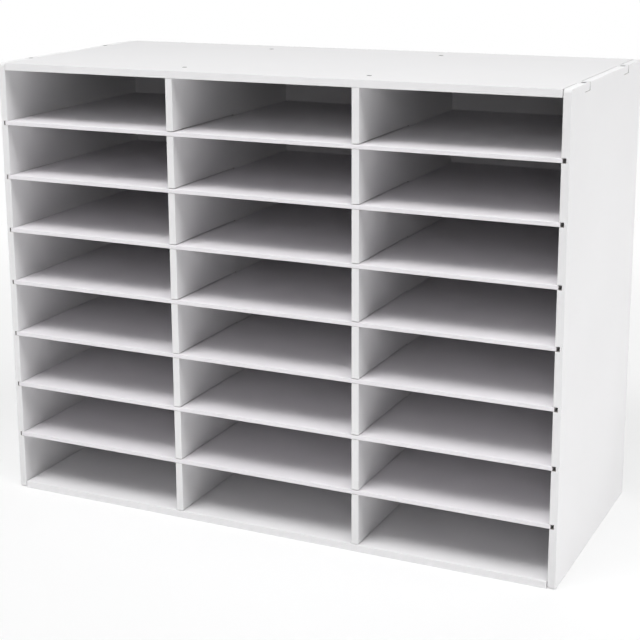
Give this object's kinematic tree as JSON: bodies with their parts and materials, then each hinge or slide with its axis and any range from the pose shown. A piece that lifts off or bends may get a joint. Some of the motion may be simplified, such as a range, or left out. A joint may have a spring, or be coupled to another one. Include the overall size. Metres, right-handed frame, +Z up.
{
  "type": "pigeonhole mail sorter",
  "caption": "White open-fronted mail sorter with a grid of flat pigeonholes formed by a boxed case, upright dividers and loose full-width shelves that slide out to the front.",
  "frame": {"origin": "middle of the footprint, on the surface that the sorter stands on", "axes": "+X to the right as seen from the open front, +Y from the front to the back, +Z up"},
  "size_m": [0.72, 0.31, 0.557],
  "materials": {
    "white_board": "satin white foil on fibreboard",
    "white_shelf": "satin white foil on thin fibreboard",
    "white_back": "matt white painted hardboard",
    "screw_steel": "dull black coat on steel",
    "dowel_wood": "bare hardwood"
  },
  "bodies": {
    "case": {"left_side_panel": "white_board", "right_side_panel": "white_board", "top_panel": "white_board", "bottom_panel": "white_board", "back_panel": "white_back", "divider_1": "white_board", "divider_2": "white_board", "tab_screw_left_front": "screw_steel", "tab_screw_left_rear": "screw_steel", "tab_screw_right_front": "screw_steel", "tab_screw_right_rear": "screw_steel", "top_screw_divider_1_front": "screw_steel", "bottom_screw_divider_1_front": "screw_steel", "top_screw_divider_1_rear": "screw_steel", "bottom_screw_divider_1_rear": "screw_steel", "top_screw_divider_2_front": "screw_steel", "bottom_screw_divider_2_front": "screw_steel", "top_screw_divider_2_rear": "screw_steel", "bottom_screw_divider_2_rear": "screw_steel", "dowel_left_front": "dowel_wood", "dowel_left_rear": "dowel_wood", "dowel_right_front": "dowel_wood", "dowel_right_rear": "dowel_wood"},
    "shelf_1": {"shelf_1": "white_shelf"},
    "shelf_2": {"shelf_2": "white_shelf"},
    "shelf_3": {"shelf_3": "white_shelf"},
    "shelf_4": {"shelf_4": "white_shelf"},
    "shelf_5": {"shelf_5": "white_shelf"},
    "shelf_6": {"shelf_6": "white_shelf"},
    "shelf_7": {"shelf_7": "white_shelf"}
  },
  "joints": [
    {"name": "shelf_1_slide", "type": "slide", "parent": "case", "child": "shelf_1", "axis": [0, -1, 0], "range_m": [0, 0.31]},
    {"name": "shelf_2_slide", "type": "slide", "parent": "case", "child": "shelf_2", "axis": [0, -1, 0], "range_m": [0, 0.31]},
    {"name": "shelf_3_slide", "type": "slide", "parent": "case", "child": "shelf_3", "axis": [0, -1, 0], "range_m": [0, 0.31]},
    {"name": "shelf_4_slide", "type": "slide", "parent": "case", "child": "shelf_4", "axis": [0, -1, 0], "range_m": [0, 0.31]},
    {"name": "shelf_5_slide", "type": "slide", "parent": "case", "child": "shelf_5", "axis": [0, -1, 0], "range_m": [0, 0.31]},
    {"name": "shelf_6_slide", "type": "slide", "parent": "case", "child": "shelf_6", "axis": [0, -1, 0], "range_m": [0, 0.31]},
    {"name": "shelf_7_slide", "type": "slide", "parent": "case", "child": "shelf_7", "axis": [0, -1, 0], "range_m": [0, 0.31]}
  ]
}
